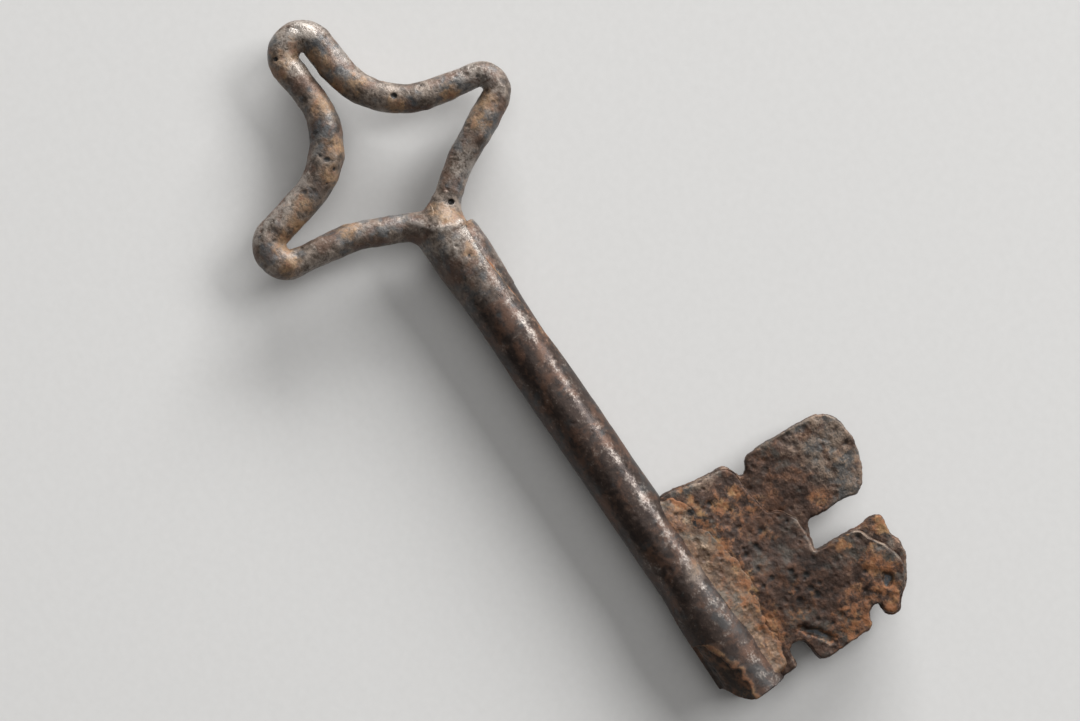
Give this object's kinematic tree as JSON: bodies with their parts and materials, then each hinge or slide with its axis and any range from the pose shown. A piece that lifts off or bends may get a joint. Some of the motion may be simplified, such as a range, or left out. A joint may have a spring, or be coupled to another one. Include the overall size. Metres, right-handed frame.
{
  "type": "iron key",
  "caption": "Old forged iron key with a rolled hollow stem, a bow bent from round rod as a pointed star, and a warded bit of two leaves.",
  "frame": {"origin": "middle of the key's outline, at the height of its lowest point when it lies flat", "axes": "+X along the stem towards its open mouth, +Y towards the bit, +Z out of the shown face"},
  "size_m": [0.1562, 0.0744, 0.0118],
  "materials": {
    "worn_iron": "worn, lightly pitted, dull sheen on the raised parts",
    "rusty_iron": "rough, corroded and pitted, brown to grey",
    "rusty_weld": "ochre rust in crevices"
  },
  "bodies": {
    "root": {"bow_rod": "worn_iron", "bow_foot_weld": "rusty_weld", "stem_tube": "worn_iron", "seam_braze": "rusty_weld", "bit_back_leaf": "rusty_iron", "bit_front_leaf": "rusty_iron", "bit_front_fillet": "rusty_weld", "bit_back_fillet": "rusty_weld"}
  },
  "joints": []
}
